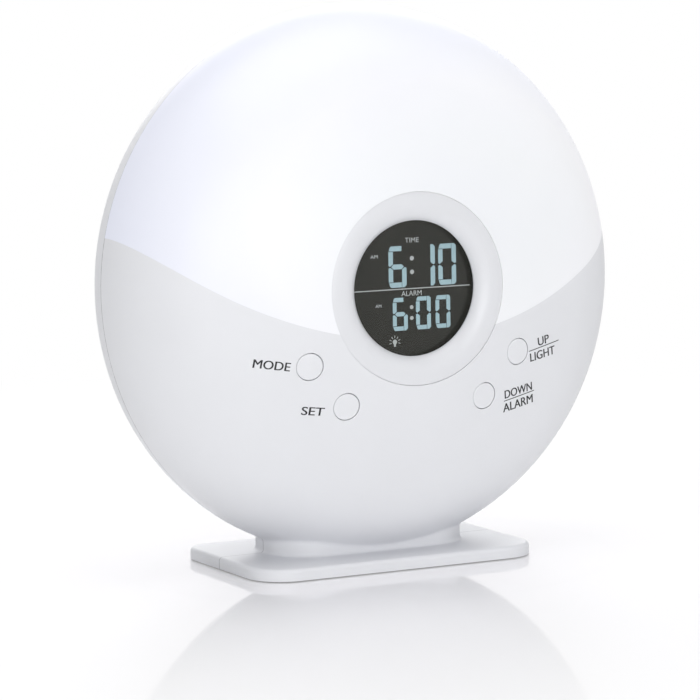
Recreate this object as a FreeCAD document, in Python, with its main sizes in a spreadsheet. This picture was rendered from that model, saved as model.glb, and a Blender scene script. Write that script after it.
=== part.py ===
"""Sunrise alarm clock: a lens-shaped lamp with a round display, on a small foot plate.

Millimetres. X runs to the right as one faces the display, Y runs from the front to the back,
Z runs up. The origin lies on the table under the middle of the body, and the plane Y = 0 is
the parting plane between the front and rear shells.
"""
import FreeCAD, Part
import math
import os
import Sketcher

PARTS_FOLDER = "parts"

doc = FreeCAD.newDocument("sunrise_clock")
sheet = doc.addObject("Spreadsheet::Sheet", "Sizes")


class Term:
    """A number that also knows how the sheet's formula for it is written."""

    def __init__(self, value, text):
        self.value = value
        self.text = text

    def __add__(self, other):
        return Term(self.value + number(other), f"({self.text} + {wording(other)})")

    def __sub__(self, other):
        return Term(self.value - number(other), f"({self.text} - {wording(other)})")

    def __mul__(self, other):
        return Term(self.value * number(other), f"({self.text} * {wording(other)})")

    def __truediv__(self, other):
        return Term(self.value / number(other), f"({self.text} / {wording(other)})")

    def __neg__(self):
        return Term(-self.value, f"(0 - {self.text})")


def number(term):
    return term.value if isinstance(term, Term) else float(term)


def wording(term):
    return term.text if isinstance(term, Term) else repr(float(term))


def cosine(angle):
    return Term(math.cos(math.radians(number(angle))), f"cos({wording(angle)} * 1 deg)")


def sine(angle):
    return Term(math.sin(math.radians(number(angle))), f"sin({wording(angle)} * 1 deg)")


def root(term):
    return Term(math.sqrt(number(term)), f"sqrt({wording(term)})")


class Sizes:
    """The driving dimensions, one named cell each."""


size = Sizes()


def set_sizes(rows):
    for row, (name, value) in enumerate(rows.items(), start=1):
        sheet.set(f"A{row}", name)
        sheet.set(f"B{row}", str(value))
        sheet.setAlias(f"B{row}", name)
        setattr(size, name, Term(float(value), f"Sizes.{name}"))
    doc.recompute()


# Body, revolved about a line along Y at the axis height
disc_radius = 85.0
axis_height = 86.5
front_depth = 44.0
front_rim = 35.0
rear_depth = 43.0
rear_rim = 23.0
wall = 2.2

# Foot plate and neck
plate_half = 48.0
plate_front = 32.0
plate_back = 26.5
plate_top = 3.9
plate_bottom = 0.25
front_corner = 12.0
back_corner = 7.0
plate_round = 1.3
plate_skin = 1.5
plate_rim = 2.0
neck_half = 33.0
neck_half_depth = 17.0
neck_corner = 15.0
neck_reach = 14.5
neck_fillet = 1.5
plate_fillet = 1.0
neck_wall = 2.0
foot_radius = 4.5
foot_recess = 0.8
foot_across = 38.0
foot_front = 20.0
foot_back = 16.5

# Edge between the glowing and the opaque front, an arc in the front view
glow_radius = 125.0
glow_low = 15.0
lap_width = 3.0

# Lip between front and rear shells
lip_reach = 1.5
lip_width = 1.2
lip_gap = 0.1
catch_width = 10.0

# Display
bezel_radius = 29.0
bezel_gap = 0.1
bezel_crest_radius = 25.0
bezel_crown = 0.37
bezel_edge_drop = 0.22
window_radius = 20.4
window_depth = 2.95
lens_radius = 22.6
lens_thick = 1.5
skirt_wall = 0.7
seat_ring_width = 2.5
seat_ring_thick = 2.4
glass_half = 21.0
glass_ledge = 4.0
glass_thick = 1.1
guide_thick = 3.0
frame_wall = 3.2
strip_thick = 2.6

# Main board
board_front = 28.0
board_thick = 1.6
board_radius = 50.0
board_top = 27.5
board_boss_across = 42.0
board_boss_drop = 10.0
board_boss_low_across = 12.0
board_boss_low_drop = 44.0
boss_radius = 3.0
small_shank = 1.15
small_head = 2.3
small_head_thick = 1.5
small_screw_length = 7.0

# Buttons and their switches
button_circle = 41.35
outer_button_angle = 31.0
inner_button_angle = 55.4
button_radius = 4.0
button_gap = 0.18
button_travel = 0.4
collar_wall = 1.5
collar_end = 34.6
flange_thick = 1.0
stem_radius = 1.6
switch_side = 6.0
switch_thick = 3.4
plunger_radius = 1.7
plunger_proud = 1.0
plunger_gap = 0.06

# Lamp
reflector_back = 8.0
reflector_thick = 1.6
reflector_flat = 60.0
reflector_radius = 79.0
reflector_rise = 6.0
reflector_low = 3.0
lamp_circle = 41.0
lamp_board_width = 10.0
lamp_board_thick = 1.6
lamp_first_angle = 18.0
lamp_side = 5.0
lamp_thick = 1.4
reflector_boss_high = 54.0
reflector_boss_across = 50.0
reflector_boss_rise = 15.0

# Loudspeaker
speaker_rise = 22.0
speaker_radius = 20.0
speaker_seat = 29.5
gasket_thick = 0.8
speaker_flange = 1.0
speaker_mouth = 16.2
basket_depth = 9.0
magnet_radius = 12.0
magnet_thick = 7.0
speaker_screw_circle = 22.4
hole_radius = 1.1
hole_pitch = 4.5

# Battery bay and door
bay_drop = 26.0
bay_half_wide = 26.0
bay_half_tall = 18.2
bay_floor = 17.5
bay_wall = 2.4
bay_base = 1.6
cell_radius = 5.25
cell_length = 43.7
cell_pitch = 11.4
nub_radius = 1.9
nub_length = 0.8
contact_thick = 0.5
contact_side = 9.0
contact_bump = 0.9
strip_gauge = 0.35
door_thick = 2.0
door_lap = 1.3
door_gap = 0.3
door_corner = 3.0
tab_across = 14.0
tab_width = 8.0
tab_reach = 3.0
tab_thick = 1.4
tab_front = 28.2
slit_across = 6.0
slit_width = 0.8
slit_length = 8.0

# Low-voltage inlet
jack_across = 42.0
jack_drop = 30.0
jack_recess = 28.4
jack_recess_radius = 6.5
jack_side = 10.0
jack_nose = 4.0
jack_bore = 2.85
jack_bore_depth = 10.0
jack_pin = 1.0
jack_back = 15.8
power_board_half_wide = 10.0
power_board_half_tall = 16.0
power_screw_spread = 12.0

# Case screws
case_screw_across = 64.0
case_screw_drop = 10.0
case_low_across = 32.0
case_low_drop = 64.0
case_seat = 6.0
case_shank = 1.45
case_head = 2.8
case_head_thick = 2.0
case_screw_length = 14.0
case_boss = 4.4
well_radius = 3.3
shank_gap = 0.05

# Leads
lead_radius = 1.0
lead_run = 10.0
lamp_lead_across = 4.0
lamp_lead_rise = 16.0
lamp_lead_end = 9.0
power_lead_across = 34.0
power_lead_drop = 24.0

set_sizes({name: value for name, value in vars().copy().items() if isinstance(value, float)})


def bind(thing, prop, term):
    thing.setExpression(prop, wording(term))


def move_to(thing, x, y, z):
    for axis, term in zip("xyz", (x, y, z)):
        bind(thing, f"Placement.Base.{axis}", term)


def draw(sketch, points):
    """Draw a closed outline. A point is (x, y), reached by a line from the one before it, or
    (x, y, radius, turn), reached by an arc that turns left (+1) or right (-1)."""
    ends = []
    for index, point in enumerate(points):
        start = FreeCAD.Vector(number(points[index - 1][0]), number(points[index - 1][1]), 0)
        end = FreeCAD.Vector(number(point[0]), number(point[1]), 0)
        if len(point) == 2:
            shape = Part.LineSegment(start, end)
            first, last = 1, 2
        else:
            radius, turn = number(point[2]), point[3]
            half = (end - start) * 0.5
            rise = math.sqrt(max(radius ** 2 - half.Length ** 2, 0.0))
            side = FreeCAD.Vector(-half.y, half.x, 0).normalize() * rise * turn
            centre = start + half + side
            a, b = (start, end) if turn > 0 else (end, start)
            first, last = (1, 2) if turn > 0 else (2, 1)
            angle_a = math.atan2(a.y - centre.y, a.x - centre.x)
            angle_b = math.atan2(b.y - centre.y, b.x - centre.x)
            circle = Part.Circle(centre, FreeCAD.Vector(0, 0, 1), radius)
            shape = Part.ArcOfCircle(circle, angle_a, angle_b)
        geometry = sketch.addGeometry(shape, False)
        ends.append((geometry, first, last))
    for index, point in enumerate(points):
        geometry, first, last = ends[index]
        before, _, before_last = ends[index - 1]
        sketch.addConstraint(Sketcher.Constraint("Coincident", before, before_last, geometry, first))
        for kind, term in (("DistanceX", point[0]), ("DistanceY", point[1])):
            row = sketch.addConstraint(
                Sketcher.Constraint(kind, -1, 1, geometry, last, number(term)))
            bind(sketch, f"Constraints[{row}]", term)
        if len(point) == 4:
            row = sketch.addConstraint(Sketcher.Constraint("Radius", geometry, number(point[2])))
            bind(sketch, f"Constraints[{row}]", point[2])


def dome(name, side, inset):
    """Half of the lens-shaped body as a solid, `inset` inside its outer surface. A crown arc
    runs tangent into a rim arc. `side` is -1 for the front and +1 for the rear."""
    depth = size.front_depth if side < 0 else size.rear_depth
    rim = size.front_rim if side < 0 else size.rear_rim
    spread = size.disc_radius - rim
    crown_back = (spread * spread - (depth - rim) * (depth - rim)) / ((depth - rim) * 2)
    crown_radius = crown_back + depth
    to_rim = root(crown_back * crown_back + spread * spread)
    joint_x = spread / to_rim * (crown_radius - inset)
    joint_y = (crown_back / to_rim * (crown_radius - inset) - crown_back) * side
    sketch = doc.addObject("Sketcher::SketchObject", name + "_profile")
    draw(sketch, [
        (0, 0),
        (size.disc_radius - inset, 0),
        (joint_x, joint_y, rim - inset, side),
        (0, (depth - inset) * side, crown_radius - inset, side),
    ])
    bind(sketch, "Placement.Base.z", size.axis_height)
    solid = doc.addObject("Part::Revolution", name)
    solid.Source = sketch
    solid.Axis = FreeCAD.Vector(0, 1, 0)
    solid.Angle = 360
    solid.Solid = True
    bind(solid, "Base.z", size.axis_height)
    return solid


def block(name, x, y, z):
    """A box between two ends along each axis, each given as (low, high)."""
    solid = doc.addObject("Part::Box", name)
    for prop, (low, high) in zip(("Length", "Width", "Height"), (x, y, z)):
        bind(solid, prop, Term(number(high), wording(high)) - low)
    move_to(solid, x[0], y[0], z[0])
    return solid


TURNS = {
    "X": FreeCAD.Rotation(FreeCAD.Vector(0, 1, 0), 90),
    "Y": FreeCAD.Rotation(FreeCAD.Vector(1, 0, 0), -90),
    "Z": FreeCAD.Rotation(),
}


def rod(name, along, radius, x, y, z, length):
    """A cylinder that starts at (x, y, z) and runs towards + along its axis."""
    solid = doc.addObject("Part::Cylinder", name)
    solid.Placement.Rotation = TURNS[along]
    bind(solid, "Radius", radius)
    bind(solid, "Height", length)
    move_to(solid, x, y, z)
    return solid


def rod_y(name, radius, x, z, low, high):
    return rod(name, "Y", radius, x, low, z, Term(number(high), wording(high)) - low)


def fuse(name, parts):
    joined = doc.addObject("Part::MultiFuse", name)
    joined.Shapes = parts
    joined.Refine = False
    return joined


def common(name, first, second):
    shared = doc.addObject("Part::Common", name)
    shared.Base = first
    shared.Tool = second
    shared.Refine = False
    return shared


def cut(name, base, tools):
    tool = tools[0] if len(tools) == 1 else fuse(name + "_tools", tools)
    result = doc.addObject("Part::Cut", name)
    result.Base = base
    result.Tool = tool
    result.Refine = False
    return result


def tube(name, radius, wall, x, z, low, high):
    outer = rod_y(name + "_outer", radius, x, z, low, high)
    inner = rod_y(name + "_inner", radius - wall, x, z, low - 1, high + 1)
    return cut(name, outer, [inner])


def rounded(name, x, y, first_corner, last_corner):
    """A rounded rectangle in a sketch; the corners at low y and at high y differ."""
    (x0, x1), (y0, y1) = x, y
    a, b = first_corner, last_corner
    sketch = doc.addObject("Sketcher::SketchObject", name)
    draw(sketch, [
        (x1 - a, y0), (x1, y0 + a, a, 1),
        (x1, y1 - b), (x1 - b, y1, b, 1),
        (x0 + b, y1), (x0, y1 - b, b, 1),
        (x0, y0 + a), (x0 + a, y0, a, 1),
    ])
    return sketch


def raised(name, sketch, low, high):
    """A sketch on the table plane, extruded upwards."""
    bind(sketch, "Placement.Base.z", low)
    solid = doc.addObject("Part::Extrusion", name)
    solid.Base = sketch
    solid.Dir = FreeCAD.Vector(0, 0, 1)
    solid.DirMode = "Custom"
    solid.Solid = True
    bind(solid, "LengthFwd", Term(number(high), wording(high)) - low)
    return solid


def deepened(name, sketch, z, low, high):
    """A sketch stood upright with its origin at height z, extruded along Y."""
    sketch.Placement.Rotation = FreeCAD.Rotation(FreeCAD.Vector(1, 0, 0), 90)
    move_to(sketch, 0, low, z)
    solid = doc.addObject("Part::Extrusion", name)
    solid.Base = sketch
    solid.Dir = FreeCAD.Vector(0, 1, 0)
    solid.DirMode = "Custom"
    solid.Solid = True
    bind(solid, "LengthFwd", Term(number(high), wording(high)) - low)
    return solid


def new_body(label, x, y, z):
    body = doc.addObject("PartDesign::Body", label)
    move_to(body, x, y, z)
    return body


def sketch_in(body, name, role):
    sketch = body.newObject("Sketcher::SketchObject", name)
    plane = [item for item in body.Origin.OriginFeatures if item.Role == role][0]
    sketch.AttachmentSupport = [(plane, "")]
    sketch.MapMode = "FlatFace"
    return sketch


def circles(sketch, spots):
    """Circles at (x, y, radius)."""
    for x, y, radius in spots:
        centre = FreeCAD.Vector(number(x), number(y), 0)
        circle = Part.Circle(centre, FreeCAD.Vector(0, 0, 1), number(radius))
        geometry = sketch.addGeometry(circle, False)
        for kind, term in (("DistanceX", x), ("DistanceY", y)):
            row = sketch.addConstraint(
                Sketcher.Constraint(kind, -1, 1, geometry, 3, number(term)))
            bind(sketch, f"Constraints[{row}]", term)
        row = sketch.addConstraint(Sketcher.Constraint("Radius", geometry, number(radius)))
        bind(sketch, f"Constraints[{row}]", radius)


def pad(body, sketch, length):
    """Pad an upright sketch towards the rear of the clock."""
    feature = body.newObject("PartDesign::Pad", sketch.Name + "_pad")
    feature.Profile = sketch
    bind(feature, "Length", length)
    feature.Reversed = True
    doc.recompute()
    return feature


def pocket(body, sketch, depth=None):
    """Pocket an upright sketch towards the rear, through everything if no depth is given."""
    before = body.Shape.Volume
    feature = body.newObject("PartDesign::Pocket", sketch.Name + "_pocket")
    feature.Profile = sketch
    if depth is None:
        feature.Type = "ThroughAll"
    else:
        bind(feature, "Length", depth)
    doc.recompute()
    if body.Shape.Volume >= before:
        raise ValueError(f"{feature.Name} cuts nothing")
    return feature


def turn(body, name, points):
    """Revolve an outline of (radius, y) about the body's own line along Y."""
    sketch = sketch_in(body, name, "XY_Plane")
    draw(sketch, points)
    feature = body.newObject("PartDesign::Revolution", name + "_turned")
    feature.Profile = sketch
    feature.ReferenceAxis = (sketch, ["V_Axis"])
    feature.Angle = 360
    doc.recompute()
    return feature


def front_surface(radius):
    """Y of the front dome's outer surface at a distance from its axis."""
    spread = size.disc_radius - size.front_rim
    rise = size.front_depth - size.front_rim
    back = (spread * spread - rise * rise) / (rise * 2)
    crown = back + size.front_depth
    return back - root(crown * crown - radius * radius)


def rear_surface(radius, inset=0):
    """Y of the rear dome at a distance from its axis, `inset` inside its outer surface."""
    spread = size.disc_radius - size.rear_rim
    rise = size.rear_depth - size.rear_rim
    back = (spread * spread - rise * rise) / (rise * 2)
    crown = back + size.rear_depth - inset
    return root(crown * crown - radius * radius) - back


def edges_between(shape, low, high, wanted):
    """Numbers of the edges that lie between two heights and pass a test of their box."""
    found = []
    for index, edge in enumerate(shape.Edges, start=1):
        corners = edge.BoundBox
        if corners.ZMin >= low and corners.ZMax <= high and wanted(edge, corners):
            found.append(index)
    return found


def filleted(name, base, numbers, radius):
    result = doc.addObject("Part::Fillet", name)
    result.Base = base
    result.Edges = [(index, number(radius), number(radius)) for index in numbers]
    return result


labels = []


def keep(thing, label):
    """Mark an object as one finished piece of the clock."""
    thing.Label = label
    labels.append(label)
    return thing


HIGH = size.axis_height
FAR = 60

# Domes at several depths under the outer surface

front_outer = dome("front_outer", -1, Term(0, "0"))
front_middle = dome("front_middle", -1, size.wall / 2)
front_inner = dome("front_inner", -1, size.wall)
rear_outer = dome("rear_outer", 1, Term(0, "0"))
rear_middle = dome("rear_middle", 1, size.wall / 2)
rear_inner = dome("rear_inner", 1, size.wall)
door_inner = dome("door_inner", 1, size.door_thick)
door_seat = dome("door_seat", 1, size.door_thick + size.shank_gap)
door_swing_floor = dome("door_swing_floor", 1, size.door_thick + size.door_gap * 2.5)

# Outer form: both domes, the neck and the foot plate, with the soft corners between them

plate_span = (-size.plate_half, size.plate_half)
plate_run = (-size.plate_front, size.plate_back)
plate_sketch = rounded("plate_outline", plate_span, plate_run, size.front_corner, size.back_corner)
plate_block = raised("plate_block", plate_sketch, size.plate_bottom, size.plate_top)
doc.recompute()
top = number(size.plate_top)
bottom = number(size.plate_bottom)
top_edges = edges_between(plate_block.Shape, top - 0.01, top + 0.01, lambda edge, corners: True)
plate_form = filleted("plate_form", plate_block, top_edges, size.plate_round)
neck_span = (-size.neck_half, size.neck_half)
neck_run = (-size.neck_half_depth, size.neck_half_depth)
neck_sketch = rounded("neck_outline", neck_span, neck_run, size.neck_corner, size.neck_corner)
neck_form = raised("neck_form", neck_sketch, size.plate_bottom, size.neck_reach)
sharp_form = fuse("sharp_form", [front_outer, rear_outer, neck_form, plate_form])
doc.recompute()


def at_neck(edge, corners):
    inside = corners.XMax <= number(size.neck_half) + 0.01 and corners.XMin >= -number(size.neck_half) - 0.01
    return inside and edge.Curve.TypeId != "Part::GeomLine" and corners.ZMin > top + 0.5


neck_edges = edges_between(sharp_form.Shape, top + 0.5, number(size.neck_reach), at_neck)
soft_form = filleted("soft_form", sharp_form, neck_edges, size.neck_fillet)
doc.recompute()


def at_neck_foot(edge, corners):
    across, deep = number(size.neck_half) + 0.01, number(size.neck_half_depth) + 0.01
    return max(corners.XMax, -corners.XMin) <= across and max(corners.YMax, -corners.YMin) <= deep


foot_edges = edges_between(soft_form.Shape, top - 0.01, top + 0.01, at_neck_foot)
outer_form = filleted("outer_form", soft_form, foot_edges, size.plate_fillet)

front_room = block("front_room", (-FAR * 2, FAR * 2), (-FAR * 2, 0), (-FAR, FAR * 4))
rear_room = block("rear_room", (-FAR * 2, FAR * 2), (0, FAR * 2), (-FAR, FAR * 4))

# Hollows under the foot plate and in the neck

core_span = (size.plate_rim - size.plate_half, size.plate_half - size.plate_rim)
core_run = (size.plate_rim - size.plate_front, size.plate_back - size.plate_rim)
core_sketch = rounded("core_outline", core_span, core_run,
                      size.front_corner - size.plate_rim, size.back_corner - size.plate_rim)
core_top = size.plate_top - size.plate_skin
core_block = raised("core_block", core_sketch, size.plate_bottom - 1, core_top)
neck_keep_sketch = rounded("neck_keep_outline", neck_span, neck_run, size.neck_corner, size.neck_corner)
neck_keep = raised("neck_keep", neck_keep_sketch, size.plate_bottom - 2, core_top + 1)
SIDES = (-1, 1)
foot_spots = [(size.foot_across * side, y) for side in SIDES for y in (-size.foot_front, size.foot_back)]


def foot_posts(name, radius, low, high):
    posts = []
    for index, (x, y) in enumerate(foot_spots):
        height = Term(number(high), wording(high)) - low
        posts.append(rod(f"{name}_{index}", "Z", radius, x, y, low, height))
    return posts


foot_lands = foot_posts("foot_land", size.foot_radius + size.plate_rim, size.plate_bottom - 2, core_top + 1)
plate_ribs = [
    block(f"plate_rib_{index}", (x - size.plate_skin / 2, x + size.plate_skin / 2),
          (-size.plate_front, size.plate_back), (size.plate_bottom - 2, core_top + 1))
    for index, x in enumerate((-size.neck_half * 0.4, size.neck_half * 0.4))
]
plate_core = cut("plate_core", core_block, [neck_keep] + foot_lands + plate_ribs)
inset_span = (size.neck_wall - size.neck_half, size.neck_half - size.neck_wall)
inset_run = (size.neck_wall - size.neck_half_depth, size.neck_half_depth - size.neck_wall)
inset_corner = size.neck_corner - size.neck_wall
inset_sketch = rounded("neck_inset_outline", inset_span, inset_run, inset_corner, inset_corner)
inset_block = raised("inset_block", inset_sketch, size.plate_bottom - 1, size.neck_reach + 1)
neck_core = cut("neck_core", inset_block, [front_outer, rear_outer])
foot_recess_top = size.plate_bottom + size.foot_recess
foot_wells = foot_posts("foot_well", size.foot_radius + size.bezel_gap * 2, size.plate_bottom - 1, foot_recess_top)
underside = fuse("underside", [plate_core, neck_core] + foot_wells)

# Rubber feet

feet = fuse("feet", foot_posts("foot", size.foot_radius, 0, foot_recess_top))
keep(feet, "rubber_feet")

# Light diffuser: the glowing upper front, with a thin tongue behind the cover's edge

glow_height = HIGH - size.glow_low + size.glow_radius
bezel_y = front_surface(size.bezel_radius)
seat_y = bezel_y + size.wall + size.bezel_gap


def glow_rod(name, radius):
    return rod_y(name, radius, 0, glow_height, -FAR, 0)


def bezel_rod(name):
    return rod_y(name, size.bezel_radius + size.bezel_gap, 0, HIGH, -FAR, seat_y)


glow_skin = cut("glow_skin", common("glow_dome", front_outer, glow_rod("glow_edge", size.glow_radius)),
                [front_inner])
tongue_band = common("tongue_band", front_middle, glow_rod("tongue_edge", size.glow_radius + size.lap_width))
tongue_seal = rod_y("tongue_seal", size.bezel_radius + size.lap_width, 0, HIGH, -FAR, 0)
glow_tongue = cut("glow_tongue", tongue_band, [front_inner, tongue_seal])
catches = []
catch_outer = size.disc_radius - size.wall - size.lip_gap * 2 - size.lip_width
for index, angle in enumerate((55, 90, 125)):
    reach = catch_outer
    arm = tube(f"catch_arm_{index}", reach, size.lip_width, 0, HIGH, -6, 4)
    root_ring = tube(f"catch_root_{index}", size.disc_radius - size.wall / 2, size.wall + size.lip_width, 0, HIGH,
                     -6, -size.lip_reach - size.lip_gap * 2)
    window = rod(f"catch_window_{index}", "Z", size.catch_width / 2, 0, 0, 0, size.disc_radius + size.wall)
    window.Placement.Rotation = FreeCAD.Rotation(FreeCAD.Vector(0, 1, 0), 90 - angle)
    bind(window, "Placement.Base.z", HIGH)
    ring_part = common(f"catch_ring_{index}", fuse(f"catch_metal_{index}", [arm, root_ring]), window)
    catches.append(common(f"catch_{index}", ring_part, fuse(f"catch_room_{index}", [front_middle, rear_inner])))
diffuser_raw = fuse("diffuser_raw", [glow_skin, glow_tongue] + catches)
light_diffuser = cut("light_diffuser_solid", diffuser_raw, [bezel_rod("notch")])
keep(light_diffuser, "light_diffuser")

# Front cover: opaque lower front with the seat ring of the display, button collars and bosses

button_angles = (size.outer_button_angle, size.inner_button_angle)
BUTTONS = {
    "mode": (-1, size.outer_button_angle),
    "set": (-1, size.inner_button_angle),
    "down": (1, size.inner_button_angle),
    "up": (1, size.outer_button_angle),
}


def button_spot(side, angle):
    return cosine(angle) * size.button_circle * side, HIGH - sine(angle) * size.button_circle


board_spots = [(size.board_boss_across * side, HIGH - size.board_boss_drop) for side in SIDES]
board_spots += [(size.board_boss_low_across * side, HIGH - size.board_boss_low_drop) for side in SIDES]
case_spots = [(size.case_screw_across * side, HIGH - size.case_screw_drop) for side in SIDES]
case_spots += [(size.case_low_across * side, HIGH - size.case_low_drop) for side in SIDES]

seat_ring_back = seat_y + size.seat_ring_thick
skirt_radius = size.lens_radius + size.shank_gap + size.skirt_wall
ring_hole = skirt_radius + size.bezel_gap
cover_posts = [rod_y("seat_ring", size.bezel_radius + size.seat_ring_width, 0, HIGH, -FAR, seat_ring_back)]
cover_holes = [rod_y("seat_hole", ring_hole, 0, HIGH, -FAR, 0), bezel_rod("bezel_room"), underside]
for index, (x, z) in enumerate(board_spots):
    cover_posts.append(rod_y(f"board_post_{index}", size.boss_radius, x, z, -FAR, -size.board_front))
    depth = size.small_screw_length
    cover_holes.append(rod_y(f"board_bore_{index}", size.small_shank + size.shank_gap, x, z,
                             -size.board_front - depth, -size.board_front))
for index, (x, z) in enumerate(case_spots):
    cover_posts.append(rod_y(f"case_post_{index}", size.case_boss, x, z, -FAR, -size.shank_gap))
    cover_holes.append(rod_y(f"case_bore_{index}", size.case_shank + size.shank_gap, x, z,
                             size.case_seat - size.case_screw_length - 1, 0))
collar_radius = size.button_radius + size.button_gap + size.collar_wall
for name, (side, angle) in BUTTONS.items():
    x, z = button_spot(side, angle)
    cover_posts.append(rod_y(f"{name}_collar", collar_radius, x, z, -FAR, -size.collar_end))
    cover_holes.append(rod_y(f"{name}_hole", size.button_radius + size.button_gap, x, z, -FAR, -size.collar_end))
cover_blank = cut("cover_blank", common("cover_form", outer_form, front_room), [front_inner])
posts_inside = common("cover_posts_inside", fuse("cover_posts", cover_posts), front_middle)
cover_raw = fuse("cover_raw", [cover_blank, posts_inside])
front_cover = cut("front_cover_solid", cover_raw, [light_diffuser] + cover_holes)
keep(front_cover, "front_cover")

# Rear shell

bay_height = HIGH - size.bay_drop
bay_tall = size.bay_half_tall + size.bay_wall
bay_wide = size.bay_half_wide + size.bay_wall
door_wide = size.bay_half_wide + size.door_lap
door_tall = size.bay_half_tall + size.door_lap
axis_drop = size.bay_drop + door_tall + size.door_gap
hinge_height = HIGH - axis_drop
hinge_y = rear_surface(axis_drop) + size.door_gap

bay_outer = block("bay_outer", (-bay_wide, bay_wide), (size.bay_floor - size.bay_base, FAR),
                  (bay_height - bay_tall, bay_height + bay_tall))
bay_inner = block("bay_inner", (-size.bay_half_wide, size.bay_half_wide), (size.bay_floor, FAR),
                  (bay_height - size.bay_half_tall, bay_height + size.bay_half_tall))


def door_prism(name, grow):
    wide, tall = door_wide + grow, door_tall + grow
    corner = size.door_corner + grow
    sketch = rounded(name + "_outline", (-wide, wide), (-tall, tall), corner, corner)
    return deepened(name, sketch, bay_height, size.bay_floor, FAR)


door_opening = cut("door_opening", door_prism("door_room", size.door_gap), [door_seat])
door_foot = block("door_foot_room", (-door_wide - size.door_gap, door_wide + size.door_gap), (size.bay_floor, FAR),
                  (HIGH - axis_drop, HIGH - axis_drop + size.tab_reach * 2))
door_swing = cut("door_swing", common("door_foot", door_prism("door_swing_room", size.door_gap), door_foot),
                 [door_swing_floor])
tab_spots = [size.tab_across * side for side in SIDES]
tab_back = size.tab_front + size.tab_thick
slots = []
for index, x in enumerate(tab_spots):
    half = size.tab_width / 2 + size.door_gap + size.lip_gap
    swing_front = size.tab_front - 1
    low_slot = block(f"low_slot_{index}", (x - half, x + half), (swing_front, FAR),
                     (bay_height - bay_tall - size.door_gap, bay_height - size.bay_half_tall + 1))
    slots.append(common(f"tab_slot_{index}", low_slot, rear_inner))
    slots.append(block(f"high_slot_{index}", (x - half, x + half), (swing_front, FAR),
                       (hinge_height, bay_height - size.bay_half_tall + 1)))

speaker_height = HIGH + size.speaker_rise
speaker_screw_spots = [
    (cosine(angle) * size.speaker_screw_circle, speaker_height + sine(angle) * size.speaker_screw_circle)
    for angle in (90, 210, 330)
]
reflector_spots = [(size.reflector_boss_across * side, HIGH + size.reflector_boss_rise) for side in SIDES]
reflector_spots.append((Term(0, "0"), HIGH + size.reflector_boss_high))
jack_x = -size.jack_across
jack_height = HIGH - size.jack_drop
power_spots = [(jack_x, jack_height + size.power_screw_spread * side) for side in SIDES]
jack_panel_front = size.jack_recess - size.wall

speaker_ring_radius = size.speaker_screw_circle + size.small_shank + size.wall / 2
speaker_ring = tube("speaker_ring", speaker_ring_radius, speaker_ring_radius - size.speaker_radius + size.wall,
                    0, speaker_height, size.speaker_seat, FAR)
rear_posts = [speaker_ring, rod_y("jack_cup", size.jack_recess_radius + size.wall, jack_x, jack_height,
                                  jack_panel_front, FAR)]
rear_holes = [bay_inner, door_opening, door_swing, underside]
rear_holes += slots
for index, (x, z) in enumerate(speaker_screw_spots):
    rear_holes.append(rod_y(f"speaker_bore_{index}", size.small_shank + size.shank_gap, x, z,
                            size.speaker_seat - 1, size.speaker_seat + size.small_screw_length / 2))
for index, (x, z) in enumerate(reflector_spots):
    rear_posts.append(rod_y(f"reflector_post_{index}", size.boss_radius, x, z, size.reflector_back, FAR))
    rear_holes.append(rod_y(f"reflector_bore_{index}", size.small_shank + size.shank_gap, x, z,
                            size.reflector_back - 1, size.reflector_back + size.small_screw_length))
for index, (x, z) in enumerate(power_spots):
    rear_posts.append(rod_y(f"power_post_{index}", size.boss_radius, x, z, size.jack_back, FAR))
    rear_holes.append(rod_y(f"power_bore_{index}", size.small_shank + size.shank_gap, x, z,
                            size.jack_back - 1, size.jack_back + size.small_screw_length))
for index, (x, z) in enumerate(case_spots):
    rear_posts.append(rod_y(f"well_post_{index}", size.well_radius + size.lip_width, x, z, size.shank_gap, FAR))
    rear_holes.append(rod_y(f"well_{index}", size.well_radius, x, z, size.case_seat, FAR))
    rear_holes.append(rod_y(f"well_bore_{index}", size.case_shank + size.bezel_gap * 2, x, z, -1, FAR))
rear_holes.append(rod_y("jack_recess_room", size.jack_recess_radius, jack_x, jack_height, size.jack_recess, FAR))
rear_holes.append(rod_y("jack_hole", size.jack_nose + size.bezel_gap, jack_x, jack_height, jack_panel_front - 1, FAR))
holes = [rod_y("grille_hole_0", size.hole_radius, 0, speaker_height, size.speaker_seat, FAR)]
for ring in (1, 2, 3):
    count = 6 * ring
    for step in range(count):
        angle = 360.0 * step / count
        x = cosine(angle) * size.hole_pitch * ring
        z = speaker_height + sine(angle) * size.hole_pitch * ring
        holes.append(rod_y(f"grille_hole_{ring}_{step}", size.hole_radius, x, z, size.speaker_seat, FAR))
rear_holes += holes

lip_front = tube("lip_front", size.disc_radius - size.wall - size.lip_gap, size.lip_width, 0, HIGH,
                 -size.lip_reach, 0)
lip_back = tube("lip_back", size.disc_radius - size.wall / 2, size.wall / 2 + size.lip_gap + size.lip_width,
                0, HIGH, 0, 2)
lip = fuse("lip", [lip_front, common("lip_back_inside", lip_back, rear_middle)])
rear_blank = cut("rear_blank", common("rear_form", outer_form, rear_room), [rear_inner])
rear_posts_inside = common("rear_posts_inside", fuse("rear_posts", rear_posts + [bay_outer]), rear_middle)
rear_raw = fuse("rear_raw", [rear_blank, rear_posts_inside, lip])
rear_shell = cut("rear_shell_solid", rear_raw, rear_holes)
keep(rear_shell, "rear_shell")

# Battery door: a panel of the dome with two tabs below, holding ribs and a sprung finger

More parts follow.
